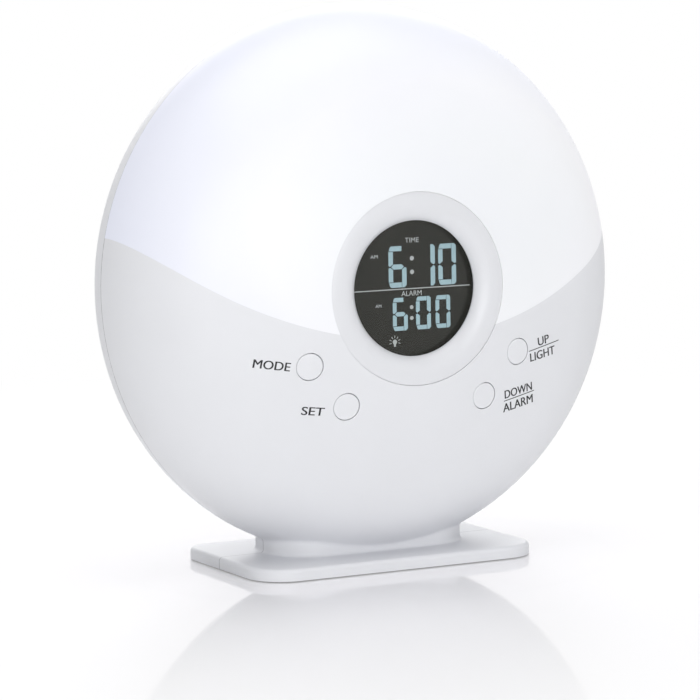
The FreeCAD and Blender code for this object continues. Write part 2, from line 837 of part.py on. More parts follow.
door_panel = cut("door_panel", common("door_dome", rear_outer, door_prism("door_outline_room", 0)), [door_inner])
door_metal = []
door_low = bay_height - door_tall
for index, x in enumerate(tab_spots):
    half = size.tab_width / 2
    door_metal.append(block(f"tab_{index}", (x - half, x + half), (size.tab_front, tab_back),
                            (door_low - size.tab_reach, door_low + size.door_lap + size.lip_gap * 3)))
    web = block(f"tab_web_{index}", (x - half, x + half), (size.tab_front, FAR),
                (door_low + size.lip_gap * 2, door_low + size.door_lap + size.lip_gap * 3))
    door_metal.append(common(f"tab_web_inside_{index}", web, rear_middle))
rib_front = size.bay_floor + size.cell_radius * 2 + size.door_gap
for index, x in enumerate((-size.bay_half_wide * 0.4, size.bay_half_wide * 0.4)):
    rib = block(f"door_rib_{index}", (x - size.lip_width / 2, x + size.lip_width / 2), (rib_front, FAR),
                (bay_height - size.bay_half_tall + size.tab_reach, bay_height + size.bay_half_tall - size.tab_reach))
    door_metal.append(common(f"door_rib_inside_{index}", rib, rear_middle))
door_top = bay_height + door_tall
slits = [
    block(f"door_slit_{index}", (x - size.slit_width / 2, x + size.slit_width / 2), (rib_front, FAR),
          (door_top - size.slit_length, door_top + 1))
    for index, x in enumerate((-size.slit_across, size.slit_across))
]
scoop_radius = size.slit_across * 1.5
scoop_height = door_top - size.slit_length * 0.5
scoop = doc.addObject("Part::Sphere", "scoop")
bind(scoop, "Radius", scoop_radius)
move_to(scoop, 0, rear_surface(size.bay_drop - door_tall + size.slit_length * 0.5) + scoop_radius - size.door_thick * 0.6,
        scoop_height)
battery_door = cut("battery_door_solid", fuse("door_raw", [door_panel] + door_metal), slits + [scoop])
keep(battery_door, "battery_door")

# Display: ring, window, liquid-crystal cell, light guide, frame and contact strip

lens_y = bezel_y + size.window_depth
lens_back = lens_y + size.lens_thick
lip_y = lens_y - size.shank_gap * 10
crest_y = bezel_y - size.bezel_crown
edge_y = bezel_y + size.bezel_edge_drop


def tangent_radius(run, drop):
    """Radius of an arc that starts level and falls by `drop` over `run`."""
    return (run * run + drop * drop) / (drop * 2)


bezel = new_body("display_bezel_body", 0, 0, HIGH)
turn(bezel, "bezel_profile", [
    (size.window_radius, lens_y),
    (size.window_radius, lip_y),
    (size.bezel_crest_radius, crest_y, tangent_radius(size.bezel_crest_radius - size.window_radius, lip_y - crest_y), 1),
    (size.bezel_radius, edge_y, tangent_radius(size.bezel_radius - size.bezel_crest_radius, edge_y - crest_y), 1),
    (size.bezel_radius, seat_y),
    (skirt_radius, seat_y),
    (skirt_radius, seat_ring_back),
    (size.lens_radius + size.shank_gap, seat_ring_back),
    (size.lens_radius + size.shank_gap, lens_y),
])
keep(bezel, "display_bezel")

lens = new_body("display_lens_body", 0, 0, HIGH)
edge = size.door_gap
turn(lens, "lens_profile", [
    (0, lens_y),
    (size.lens_radius - edge, lens_y),
    (size.lens_radius, lens_y + edge),
    (size.lens_radius, lens_back),
    (0, lens_back),
])
keep(lens, "display_lens")

glass_front = seat_ring_back + size.lip_gap
if number(lens_back) > number(glass_front):
    glass_front = lens_back + size.lip_gap
glass_middle = glass_front + size.glass_thick
glass_back = glass_middle + size.glass_thick
guide_back = glass_back + size.guide_thick
glass_span = (-size.glass_half, size.glass_half)
glass_low = HIGH - size.glass_half - size.glass_ledge
front_glass = block("front_glass", glass_span, (glass_front, glass_middle), (glass_low, HIGH + size.glass_half))
back_glass = block("back_glass", glass_span, (glass_middle, glass_back),
                   (HIGH - size.glass_half, HIGH + size.glass_half))
keep(fuse("lcd_panel_solid", [front_glass, back_glass]), "lcd_panel")
guide = block("guide_block", glass_span, (glass_back, guide_back), (HIGH - size.glass_half, HIGH + size.glass_half))
keep(guide, "backlight_guide")

play = size.door_gap
frame_half = size.glass_half + size.frame_wall
frame_low = glass_low - size.frame_wall
frame_high = HIGH + size.glass_half + size.frame_wall
board_y = -size.board_front
frame_block = block("frame_block", (-frame_half, frame_half), (glass_front, board_y), (frame_low, frame_high))
frame_pocket = block("frame_pocket", (-size.glass_half - play, size.glass_half + play), (glass_front - 1, guide_back),
                     (glass_low - play, HIGH + size.glass_half + play))
frame_well = block("frame_well", (-size.glass_half + size.frame_wall, size.glass_half - size.frame_wall),
                   (guide_back - 1, board_y + 1),
                   (HIGH - size.glass_half + size.frame_wall, HIGH + size.glass_half - size.frame_wall))
strip_half = size.glass_half - size.frame_wall / 2
strip_low = glass_low + size.lip_gap * 3
strip_slot = block("strip_slot", (-strip_half - play, strip_half + play), (guide_back - 1, board_y + 1),
                   (strip_low - play, strip_low + size.strip_thick + play))
led_low = HIGH + size.glass_half + play / 2
led_high = HIGH + size.glass_half + size.frame_wall / 2 + play
led_half = size.frame_wall * 0.6
led_spots = (-size.glass_half / 2, size.glass_half / 2)
led_slots = [
    block(f"led_slot_{index}", (x - led_half - play, x + led_half + play), (glass_middle, board_y + 1),
          (HIGH + size.glass_half - play, led_high + play))
    for index, x in enumerate(led_spots)
]
keep(cut("lcd_frame_solid", frame_block, [frame_pocket, frame_well, strip_slot] + led_slots), "lcd_frame")
backlights = [
    block(f"backlight_{index}", (x - led_half, x + led_half), (glass_back, board_y), (led_low, led_high))
    for index, x in enumerate(led_spots)
]
keep(fuse("backlights", backlights), "backlight_leds")
strip = block("strip_block", (-strip_half, strip_half), (glass_middle, board_y),
              (strip_low, strip_low + size.strip_thick))
keep(strip, "contact_strip")

# Main board with its chip and crystal

board_drop = size.board_boss_drop * 0.6
board_side = root(size.board_radius * size.board_radius - board_drop * board_drop)
board = new_body("main_board_body", 0, board_y, HIGH)
board_sketch = sketch_in(board, "board_outline", "XZ_Plane")
draw(board_sketch, [
    (board_side, -board_drop, size.board_radius, 1),
    (size.board_boss_across, size.board_boss_drop),
    (frame_half, size.board_top),
    (-frame_half, size.board_top),
    (-size.board_boss_across, size.board_boss_drop),
    (-board_side, -board_drop),
])
pad(board, board_sketch, size.board_thick)
board_hole_sketch = sketch_in(board, "board_holes", "XZ_Plane")
circles(board_hole_sketch, [(x, z - HIGH, size.small_shank + size.lip_gap * 2) for x, z in board_spots])
pocket(board, board_hole_sketch)
keep(board, "main_board")
board_back = board_y + size.board_thick

chip_side = size.switch_side * 1.6
chip = block("chip_block", (-chip_side / 2, chip_side / 2), (board_back, board_back + size.lens_thick),
             (HIGH - chip_side * 1.5, HIGH - chip_side * 0.5))
keep(chip, "controller_chip")
crystal_radius = size.lens_thick
crystal = rod("crystal_can", "X", crystal_radius, chip_side, board_back + crystal_radius, HIGH - chip_side,
              size.switch_side * 1.3)
keep(crystal, "clock_crystal")

# Buttons, plungers and switches

switch_front = board_y - size.switch_thick
plunger_front = switch_front - size.plunger_proud
plunger_seat = switch_front + size.switch_thick * 0.25
flange_front = size.shank_gap - size.collar_end
flange_back = flange_front + size.flange_thick
for name, (side, angle) in BUTTONS.items():
    x, z = button_spot(side, angle)
    cap = common(f"{name}_cap_dome", rod_y(f"{name}_cap", size.button_radius, x, z, -FAR, flange_front + 0.2), front_outer)
    doc.recompute()
    rim = [index for index, line in enumerate(cap.Shape.Edges, start=1)
           if line.BoundBox.YMax < number(flange_front) and line.BoundBox.XLength > number(size.button_radius)]
    soft_cap = filleted(f"{name}_soft_cap", cap, rim, size.door_gap)
    flange = rod_y(f"{name}_flange", size.button_radius + size.button_gap + size.flange_thick, x, z, flange_front, flange_back)
    stem = rod_y(f"{name}_stem", size.stem_radius, x, z, flange_back - 0.2, plunger_front)
    keep(fuse(f"{name}_button_solid", [soft_cap, flange, stem]), f"{name}_button")
    keep(rod_y(f"{name}_plunger_rod", size.plunger_radius, x, z, plunger_front, plunger_seat), f"{name}_plunger")
    half = size.switch_side / 2
    housing = block(f"{name}_switch_block", (x - half, x + half), (switch_front, board_y), (z - half, z + half))
    bore = rod_y(f"{name}_switch_bore", size.plunger_radius + size.plunger_gap, x, z, switch_front - 1,
                 plunger_seat + size.button_travel + size.lip_gap * 2)
    keep(cut(f"{name}_switch_solid", housing, [bore]), f"{name}_switch")

# Reflector with the arc-shaped lamp board

reflector_front = size.reflector_back - size.reflector_thick
reflector = new_body("reflector_body", 0, 0, HIGH)
turn(reflector, "reflector_profile", [
    (0, reflector_front),
    (size.reflector_flat, reflector_front),
    (size.reflector_radius - size.reflector_thick, reflector_front - size.reflector_rise),
    (size.reflector_radius, reflector_front - size.reflector_rise + size.reflector_thick),
    (size.reflector_flat + size.reflector_thick / 2, size.reflector_back),
    (0, size.reflector_back),
])
low_sketch = sketch_in(reflector, "reflector_lower_half", "XZ_Plane")
low_reach = size.reflector_radius + size.wall
draw(low_sketch, [
    (-low_reach, -low_reach), (low_reach, -low_reach),
    (low_reach, -size.reflector_low), (-low_reach, -size.reflector_low),
])
low_pocket = reflector.newObject("PartDesign::Pocket", "reflector_cut")
low_pocket.Profile = low_sketch
low_pocket.Type = "ThroughAll"
low_pocket.Midplane = True
doc.recompute()
lamp_screw_angles = (size.lamp_first_angle * 0.55, Term(90, "90"), Term(180, "180") - size.lamp_first_angle * 0.55)
lamp_screw_spots = [(cosine(angle) * size.lamp_circle, HIGH + sine(angle) * size.lamp_circle)
                    for angle in lamp_screw_angles]
hole_sketch = sketch_in(reflector, "reflector_holes", "XZ_Plane")
circles(hole_sketch, [(x, z - HIGH, size.small_shank + size.lip_gap * 2) for x, z in reflector_spots]
        + [(x, z - HIGH, size.small_shank + size.shank_gap) for x, z in lamp_screw_spots])
pocket(reflector, hole_sketch)
keep(reflector, "reflector")

lamp_back = reflector_front
lamp_front = lamp_back - size.lamp_board_thick
LAMP_COUNT = 12
lamp_step = (Term(180, "180") - size.lamp_first_angle * 2) / (LAMP_COUNT - 1)
end_angle = size.lamp_first_angle * 0.3
board_outer = size.lamp_circle + size.lamp_board_width / 2
board_inner = size.lamp_circle - size.lamp_board_width / 2
lamp_board = new_body("lamp_board_body", 0, lamp_front, HIGH)
arc_sketch = sketch_in(lamp_board, "lamp_board_outline", "XZ_Plane")
left, right = -cosine(end_angle), cosine(end_angle)
rise = sine(end_angle)
draw(arc_sketch, [
    (left * board_outer, rise * board_outer, board_outer, 1),
    (left * board_inner, rise * board_inner),
    (right * board_inner, rise * board_inner, board_inner, -1),
    (right * board_outer, rise * board_outer),
])
pad(lamp_board, arc_sketch, size.lamp_board_thick)
lamp_hole_sketch = sketch_in(lamp_board, "lamp_board_holes", "XZ_Plane")
circles(lamp_hole_sketch, [(x, z - HIGH, size.small_shank + size.lip_gap) for x, z in lamp_screw_spots])
pocket(lamp_board, lamp_hole_sketch)
keep(lamp_board, "lamp_board")

lamps = []
for index in range(LAMP_COUNT):
    angle = size.lamp_first_angle + lamp_step * index
    half = size.lamp_side / 2
    lamp = doc.addObject("Part::Box", f"lamp_{index}")
    bind(lamp, "Length", size.lamp_side)
    bind(lamp, "Width", size.lamp_thick)
    bind(lamp, "Height", size.lamp_side)
    lamp.Placement.Rotation = FreeCAD.Rotation(FreeCAD.Vector(0, 1, 0), 90 - number(angle))
    # The lamp's corner, turned with it, from the lamp's middle on the circle
    x = cosine(angle) * (size.lamp_circle - half) - sine(angle) * half
    z = HIGH + sine(angle) * (size.lamp_circle - half) + cosine(angle) * half
    move_to(lamp, x, lamp_front - size.lamp_thick, z)
    lamps.append(lamp)
keep(fuse("lamps", lamps), "lamp_leds")

# Loudspeaker

gasket_front = size.speaker_seat - size.gasket_thick
flange_y = gasket_front - size.speaker_flange
basket_y = flange_y - size.basket_depth
skin = size.speaker_flange * 0.8
basket_radius = size.magnet_radius - 1
throat = size.magnet_radius / 2
gasket = tube("gasket_ring", size.speaker_radius, size.wall, 0, speaker_height, gasket_front, size.speaker_seat)
keep(gasket, "speaker_gasket")
speaker = new_body("speaker_frame_body", 0, 0, speaker_height)
turn(speaker, "basket_profile", [
    (throat, basket_y), (basket_radius, basket_y),
    (size.speaker_mouth + skin, flange_y), (size.speaker_radius, flange_y),
    (size.speaker_radius, gasket_front), (size.speaker_mouth, gasket_front),
    (basket_radius - skin, basket_y + skin), (throat, basket_y + skin),
])
window_sketch = sketch_in(speaker, "basket_window", "XZ_Plane")
circles(window_sketch, [(Term(0, "0"), (size.speaker_mouth + basket_radius) / 2 - skin / 2, skin * 2)])
window_pocket = speaker.newObject("PartDesign::Pocket", "basket_window_pocket")
window_pocket.Profile = window_sketch
window_pocket.Type = "ThroughAll"
doc.recompute()
windows = speaker.newObject("PartDesign::PolarPattern", "basket_windows")
windows.Originals = [window_pocket]
windows.Axis = ([item for item in speaker.Origin.OriginFeatures if item.Role == "Y_Axis"][0], [""])
windows.Angle = 360
windows.Occurrences = 6
speaker.Tip = windows
doc.recompute()
keep(speaker, "speaker_frame")

magnet = new_body("speaker_magnet_body", 0, 0, speaker_height)
magnet_y = basket_y - size.magnet_thick
edge = size.flange_thick * 0.6
turn(magnet, "magnet_profile", [
    (0, magnet_y), (size.magnet_radius - edge, magnet_y), (size.magnet_radius, magnet_y + edge),
    (size.magnet_radius, basket_y - edge), (size.magnet_radius - edge, basket_y), (0, basket_y),
])
keep(magnet, "speaker_magnet")

cone_back = basket_y + size.basket_depth * 0.45
paper = size.gasket_thick * 0.4
coil = throat - paper * 2
rim_out = size.speaker_mouth + size.flange_thick
cone = new_body("speaker_cone_body", 0, 0, speaker_height)
cap_foot = cone_back + paper * 1.5
cap_top = cap_foot + throat * 0.35
turn(cone, "cone_profile", [
    (coil - paper, basket_y + skin), (coil, basket_y + skin), (coil, cone_back - paper),
    (size.speaker_mouth - paper, gasket_front - paper), (size.speaker_mouth - paper, gasket_front),
    (rim_out, gasket_front), (rim_out, gasket_front + paper),
    (size.speaker_mouth - paper * 2, gasket_front + paper), (throat, cap_foot),
    (throat * 0.6, cap_top), (0, cap_top), (0, cap_top - paper), (throat * 0.6 - paper / 2, cap_top - paper),
    (coil - paper, cone_back - paper),
])
keep(cone, "speaker_cone")

# Battery cells and contacts

cell_y = size.bay_floor + size.cell_radius + size.lip_gap
contact_x = size.bay_half_wide - size.contact_thick
cells = []
plates = []
coils = []
for row in (-1, 0, 1):
    z = bay_height + size.cell_pitch * row
    way = -1 if row == 0 else 1
    tag = f"cell_{row + 1}"
    nub_end = contact_x - size.contact_bump
    can_end = nub_end - size.nub_length
    can_low = (can_end - size.cell_length) if way > 0 else -can_end
    nub_low = can_end if way > 0 else -nub_end
    bump_low = nub_end if way > 0 else -contact_x
    cells.append(rod(tag + "_can", "X", size.cell_radius, can_low, cell_y, z, size.cell_length))
    cells.append(rod(tag + "_nub", "X", size.nub_radius, nub_low, cell_y, z, size.nub_length))
    half = size.contact_side / 2
    for side in SIDES:
        low = contact_x if side > 0 else -size.bay_half_wide
        plates.append(block(f"{tag}_plate_{side}", (low, low + size.contact_thick), (cell_y - half, cell_y + half),
                            (z - half, z + half)))
    plates.append(rod(tag + "_bump", "X", size.nub_radius * 1.2, bump_low, cell_y, z, size.contact_bump))
    loop_room = contact_x * 2 - size.contact_bump - size.nub_length - size.cell_length
    loop_x = (loop_room / 2 - contact_x) if way > 0 else contact_x - loop_room / 2
    loop_low = z - size.contact_side / 3
    outer = rod(tag + "_loop_outer", "Z", loop_room / 2, loop_x, cell_y, loop_low, size.contact_side * 2 / 3)
    inner = rod(tag + "_loop_inner", "Z", loop_room / 2 - size.strip_gauge, loop_x, cell_y, loop_low - 1,
                size.contact_side)
    coils.append(cut(tag + "_loop", outer, [inner]))
keep(fuse("cells", cells), "battery_cells")
keep(fuse("plates", plates), "battery_plates")
keep(fuse("loops", coils), "battery_springs")

# Low-voltage inlet on its own small board

jack_half = size.jack_side / 2
jack_block = block("jack_block", (jack_x - jack_half, jack_x + jack_half), (size.jack_back, jack_panel_front),
                   (jack_height - jack_half, jack_height + jack_half))
nose = rod_y("jack_nose_rod", size.jack_nose, jack_x, jack_height, jack_panel_front - 1, size.jack_recess)
bore_floor = size.jack_recess - size.jack_bore_depth
jack_hollow = rod_y("jack_bore_rod", size.jack_bore, jack_x, jack_height, bore_floor, FAR)
keep(cut("dc_jack_solid", fuse("jack_raw", [jack_block, nose]), [jack_hollow]), "dc_jack")
keep(rod_y("jack_pin_rod", size.jack_pin, jack_x, jack_height, bore_floor, size.jack_recess - 1), "dc_jack_pin")
power_board_y = size.jack_back - size.board_thick
power_board = new_body("power_board_body", 0, power_board_y, HIGH)
power_sketch = sketch_in(power_board, "power_board_outline", "XZ_Plane")
power_x0, power_x1 = jack_x - size.power_board_half_wide, jack_x + size.power_board_half_wide
power_z0 = -size.jack_drop - size.power_board_half_tall
power_z1 = -size.jack_drop + size.power_board_half_tall
draw(power_sketch, [(power_x1, power_z0), (power_x1, power_z1), (power_x0, power_z1), (power_x0, power_z0)])
pad(power_board, power_sketch, size.board_thick)
power_holes = sketch_in(power_board, "power_board_holes", "XZ_Plane")
circles(power_holes, [(x, z - HIGH, size.small_shank + size.lip_gap * 2) for x, z in power_spots])
pocket(power_board, power_holes)
keep(power_board, "power_board")
capacitor_radius = size.boss_radius
capacitor = rod_y("capacitor_can", capacitor_radius, jack_x - capacitor_radius, jack_height,
                  power_board_y - size.magnet_thick, power_board_y)
keep(capacitor, "supply_capacitor")

# Screws, each set one node: a head with a cross recess on a shank


def screws(label, spots, seat, way, shank, length, head, head_thick):
    """Screws along Y with their heads' undersides at `seat`; `way` is where they point."""
    metal = []
    crosses = []
    for index, (x, z) in enumerate(spots):
        tip = seat + length * way
        crown = seat - head_thick * way
        low, high = (seat, tip) if way > 0 else (tip, seat)
        metal.append(rod_y(f"{label}_shank_{index}", shank, x, z, low, high))
        low, high = (crown, seat) if way > 0 else (seat, crown)
        metal.append(rod_y(f"{label}_head_{index}", head, x, z, low, high))
        floor = crown + head_thick * 0.5 * way
        low, high = (crown - way, floor) if way > 0 else (floor, crown - way)
        arm, half = head * 0.6, head * 0.13
        crosses.append(block(f"{label}_cross_a_{index}", (x - arm, x + arm), (low, high), (z - half, z + half)))
        crosses.append(block(f"{label}_cross_b_{index}", (x - half, x + half), (low, high), (z - arm, z + arm)))
    keep(cut(f"{label}_solid", fuse(f"{label}_blanks", metal), crosses), label)


small = (size.small_shank, size.small_screw_length, size.small_head, size.small_head_thick)
screws("case_screws", case_spots, size.case_seat, -1, size.case_shank, size.case_screw_length,
       size.case_head, size.case_head_thick)
screws("board_screws", board_spots, board_back, -1, *small)
screws("reflector_screws", reflector_spots, reflector_front, 1, *small)
screws("power_board_screws", power_spots, power_board_y, 1, *small)
screws("lamp_board_screws", lamp_screw_spots, lamp_front, 1, size.small_shank,
       size.lamp_board_thick + size.reflector_thick * 0.8, size.small_head * 0.8, size.small_head_thick * 0.8)
screws("speaker_screws", speaker_screw_spots, flange_y, 1, size.small_shank, size.small_screw_length * 0.7,
       size.boss_radius, size.small_head_thick)

# Leads inside the case: straight runs joined by tangent arcs


def lead(label, points):
    """A round lead along a list of points, with every corner turned by one arc."""
    spots = [FreeCAD.Vector(*(number(term) for term in point)) for point in points]
    path = []
    start = spots[0]
    for before, corner, after in zip(spots, spots[1:], spots[2:]):
        to_before = (before - corner).normalize()
        to_after = (after - corner).normalize()
        half_turn = (math.pi - to_before.getAngle(to_after)) / 2
        shorter = min((before - corner).Length, (after - corner).Length)
        setback = 0.45 * shorter
        radius = setback / math.tan(half_turn)
        arc_start = corner + to_before * setback
        arc_end = corner + to_after * setback
        middle = (to_before + to_after).normalize()
        centre = corner + middle * (radius / math.cos(half_turn))
        arc_middle = centre - middle * radius
        path.append(Part.LineSegment(start, arc_start).toShape())
        path.append(Part.Arc(arc_start, arc_middle, arc_end).toShape())
        start = arc_end
    path.append(Part.LineSegment(start, spots[-1]).toShape())
    spine = Part.Wire(path)
    radius = number(size.lead_radius)
    section = Part.Wire([Part.makeCircle(radius, spots[0], spots[1] - spots[0])])
    solid = spine.makePipeShell([section], True, False)
    wanted = spine.Length * math.pi * radius ** 2
    print(f"{label}: length {spine.Length:.1f}, volume {solid.Volume:.1f} of {wanted:.1f}")
    feature = doc.addObject("Part::Feature", label + "_tube")
    feature.Shape = solid
    keep(feature, label)


lamp_lead_low = HIGH + size.lamp_lead_rise
lamp_lead_high = HIGH + board_inner + size.lamp_board_width / 2 - size.lead_radius
lead("lamp_lead", [
    (size.lamp_lead_across, board_back, lamp_lead_low),
    (size.lamp_lead_across, board_back + size.lead_run, lamp_lead_low),
    (size.lamp_lead_end, lamp_front - size.lead_run, lamp_lead_high),
    (size.lamp_lead_end, lamp_front, lamp_lead_high),
])
lead_x = -size.magnet_radius * 2 / 3
lead_drop = size.reflector_low + size.lead_radius * 2.5
lead_y = magnet_y + size.lead_radius * 1.8
lead_top = speaker_height - root(size.magnet_radius * size.magnet_radius
                                 - (-lead_x - size.lead_radius) * (-lead_x - size.lead_radius)) - size.shank_gap
lead("speaker_lead", [
    (lead_x, board_back, HIGH - lead_drop), (lead_x, lead_y, HIGH - lead_drop), (lead_x, lead_y, lead_top),
])
power_lead_end = jack_height + size.power_board_half_tall * 5 / 8
power_lead_low = HIGH - size.power_lead_drop
lead("power_lead", [
    (-size.power_lead_across, board_back, power_lead_low),
    (-size.power_lead_across, board_back + size.lead_run, power_lead_low),
    (-size.power_lead_across - size.lead_radius * 2, power_board_y - size.lead_run, power_lead_end),
    (-size.power_lead_across - size.lead_radius * 2, power_board_y, power_lead_end),
])

# Finish: every feature must have worked before anything is written

doc.recompute()
faults = [item.Name for item in doc.Objects if "Invalid" in item.State or "Error" in item.State]
if faults:
    raise ValueError(f"features that failed: {faults}")
finished = [item for item in doc.Objects if item.Label in labels]
if len(finished) != len(labels):
    raise ValueError("a label is missing or repeated")
for item in finished:
    if item.Shape.isNull() or not item.Shape.isValid():
        raise ValueError(f"{item.Label} has no valid shape")
os.makedirs(PARTS_FOLDER, exist_ok=True)
for item in finished:
    item.Shape.exportStep(os.path.join(PARTS_FOLDER, item.Label + ".step"))
    print(f"{item.Label}: solids {len(item.Shape.Solids)}, volume {item.Shape.Volume:.1f}")
print(f"door hinge: y {number(hinge_y):.3f}, z {number(hinge_height):.3f}")
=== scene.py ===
import math

import bmesh
import bpy
from mathutils import Matrix, Vector


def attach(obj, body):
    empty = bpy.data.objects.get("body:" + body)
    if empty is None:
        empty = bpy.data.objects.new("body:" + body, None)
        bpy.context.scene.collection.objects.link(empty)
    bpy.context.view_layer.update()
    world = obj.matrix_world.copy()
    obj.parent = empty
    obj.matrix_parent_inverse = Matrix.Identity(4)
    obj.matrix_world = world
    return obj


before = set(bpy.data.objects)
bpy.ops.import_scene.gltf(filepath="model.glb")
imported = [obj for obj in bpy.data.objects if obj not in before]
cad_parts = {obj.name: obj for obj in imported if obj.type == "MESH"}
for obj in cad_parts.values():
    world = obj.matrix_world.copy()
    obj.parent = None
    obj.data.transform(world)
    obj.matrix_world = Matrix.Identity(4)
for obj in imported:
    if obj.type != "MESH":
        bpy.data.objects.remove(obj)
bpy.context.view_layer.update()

# Sizes of the front in millimetres, the same as in the CAD

MM = 0.001
AXIS_HEIGHT = 86.5
FRONT_DEPTH = 44.0
FRONT_RIM = 35.0
DISC_RADIUS = 85.0

# Print on the dome and lit segments, in millimetres. The lit ones lie 0.1 mm in front of the display glass.

INK_PROUD, INK_THICK = 0.02, 0.03
INK_SPREAD, INK_STEP = 0.14, 0.002
LIT_FRONT, LIT_THICK = -36.97, 0.04
SEGMENT_GAP = 0.14

# How many points a drawn disc has, and how many stretches a line on the dome

DISC_POINTS = 20
LINE_STEPS = 8


# The dome of the front, in millimetres from the case's axis

def crown_radius():
    rim_centre = DISC_RADIUS - FRONT_RIM
    return (rim_centre ** 2 + FRONT_DEPTH ** 2 - FRONT_RIM ** 2) / (2 * (FRONT_DEPTH - FRONT_RIM))


CROWN = crown_radius()


def dome_y(x, drop):
    rho = math.hypot(x, drop)
    return -(FRONT_DEPTH - CROWN + math.sqrt(CROWN ** 2 - rho ** 2))


# Materials, with their lengths in metres

FINE_GRAIN = 2600.0
RUBBER_GRAIN = 1200.0
GRAIN_DEPTH = 0.00001
GLOSS_SWING = 0.03
# Painted shade along the seam of the case halves: how far from it the shade is full, where it fades out, and
# how dark it is
SEAM_SHADE_FULL, SEAM_SHADE_FADE, SEAM_SHADE_LEVEL = 0.00008, 0.00018, 0.42
GLOW_SQUEEZE = (0.8, 1.0, 1.1)
GLOW_CENTRE = (0.010, -0.040, 0.1155)
GLOW_REACH = 0.100
GLOW_CLOUD = 0.03
GLOW_TONES = [
    (0.0, (0.19, 0.19, 0.15)),
    (0.30, (0.22, 0.22, 0.17)),
    (0.50, (0.24, 0.23, 0.19)),
    (0.67, (0.19, 0.19, 0.19)),
    (1.0, (0.12, 0.13, 0.18)),
]


class Nodes:
    """A small helper that adds nodes to one material and links them."""

    def __init__(self, name):
        self.material = bpy.data.materials.new(name)
        self.material.use_nodes = True
        self.tree = self.material.node_tree
        self.shader = self.tree.nodes["Principled BSDF"]
        self.output = self.tree.nodes["Material Output"]

    def add(self, kind, **settings):
        node = self.tree.nodes.new(kind)
        for key, value in settings.items():
            setattr(node, key, value)
        return node

    def link(self, source, target):
        self.tree.links.new(source, target)

    def place(self):
        return self.add("ShaderNodeTexCoord").outputs["Object"]

    def noise(self, scale, detail, roughness=0.5):
        node = self.add("ShaderNodeTexNoise")
        node.inputs["Scale"].default_value = scale
        node.inputs["Detail"].default_value = detail
        node.inputs["Roughness"].default_value = roughness
        self.link(self.place(), node.inputs["Vector"])
        return node.outputs["Fac"]

    def ramp(self, source, stops):
        node = self.add("ShaderNodeValToRGB")
        band = node.color_ramp
        while len(band.elements) < len(stops):
            band.elements.new(0.5)
        for element, (spot, colour) in zip(band.elements, stops):
            element.position = spot
            element.color = (*colour, 1.0)
        self.link(source, node.inputs["Fac"])
        return node.outputs["Color"]

    def spread(self, source, low, high, new_low, new_high):
        node = self.add("ShaderNodeMapRange")
        names = ("From Min", "From Max", "To Min", "To Max")
        for key, value in zip(names, (low, high, new_low, new_high)):
            node.inputs[key].default_value = value
        self.link(source, node.inputs["Value"])
        return node.outputs["Result"]

    def painted_seam_shade(self, colour):
        """Painted shade: darkens the hairline where the two halves of the case meet, at y = 0, standing in
        for the shadow in their gap.
        """
        split = self.add("ShaderNodeSeparateXYZ")
        self.link(self.place(), split.inputs["Vector"])
        off = self.add("ShaderNodeMath", operation="ABSOLUTE")
        self.link(split.outputs["Y"], off.inputs[0])
        line = self.spread(off.outputs["Value"], SEAM_SHADE_FULL, SEAM_SHADE_FADE, SEAM_SHADE_LEVEL, 1.0)
        dark = self.add("ShaderNodeVectorMath", operation="SCALE")
        self.link(colour, dark.inputs["Vector"])
        self.link(line, dark.inputs["Scale"])
        return dark.outputs["Vector"]

    def surface(self, grain, roughness, relief):
        """Uneven gloss and a slight bump, both from one grain."""
        fine = self.noise(grain, 2.0, 0.6)
        gloss = self.spread(fine, 0.3, 0.7, roughness - GLOSS_SWING, roughness + GLOSS_SWING)
        self.link(gloss, self.shader.inputs["Roughness"])
        bump = self.add("ShaderNodeBump")
        bump.inputs["Strength"].default_value = relief
        bump.inputs["Distance"].default_value = GRAIN_DEPTH
        self.link(fine, bump.inputs["Height"])
        self.link(bump.outputs["Normal"], self.shader.inputs["Normal"])


def shade(value):
    """A linear colour from 0-255 tones as they show on a screen."""
    def one(tone):
        tone = tone / 255
        return tone / 12.92 if tone <= 0.04045 else ((tone + 0.055) / 1.055) ** 2.4
    return tuple(one(tone) for tone in value)


def mottled(name, tones, roughness, metallic=0.0, grain=FINE_GRAIN, relief=0.08, spread=0.03, seam_shade=False):
    """A moulded or plated surface: slight cloudiness in colour and gloss over a grain."""
    made = Nodes(name)
    base = shade(tones)
    darker = tuple(part * (1 - spread) for part in base)
    lighter = tuple(min(1.0, part * (1 + spread)) for part in base)
    cloud = made.noise(35.0, 3.0)
    colour = made.ramp(cloud, [(0.35, darker), (0.65, lighter)])
    # Painted shade along the seam where the case halves meet
    if seam_shade:
        colour = made.painted_seam_shade(colour)
    made.link(colour, made.shader.inputs["Base Color"])
    made.surface(grain, roughness, relief)
    made.shader.inputs["Metallic"].default_value = metallic
    return made.material


def glowing_shell(name):
    """Milky diffuser, lit from behind: brightest above the ring, lavender towards its ends."""
    made = Nodes(name)
    haze = made.noise(18.0, 3.0)
    made.link(made.ramp(haze, [(0.35, shade((214, 216, 227))), (0.65, shade((217, 219, 229)))]),
              made.shader.inputs["Base Color"])
    squeezed = made.add("ShaderNodeVectorMath", operation="MULTIPLY")
    made.link(made.place(), squeezed.inputs[0])
    squeezed.inputs[1].default_value = GLOW_SQUEEZE
    middle = made.add("ShaderNodeVectorMath", operation="DISTANCE")
    made.link(squeezed.outputs["Vector"], middle.inputs[0])
    middle.inputs[1].default_value = GLOW_CENTRE
    reach = made.spread(middle.outputs["Value"], 0.0, GLOW_REACH, 0.0, 1.0)
    uneven = made.add("ShaderNodeMath", operation="MULTIPLY_ADD")
    made.link(haze, uneven.inputs[0])
    uneven.inputs[1].default_value = GLOW_CLOUD
    made.link(reach, uneven.inputs[2])
    made.link(made.ramp(uneven.outputs["Value"], GLOW_TONES), made.shader.inputs["Emission Color"])
    made.shader.inputs["Emission Strength"].default_value = 1.0
    made.surface(FINE_GRAIN, 0.45, 0.06)
    return made.material


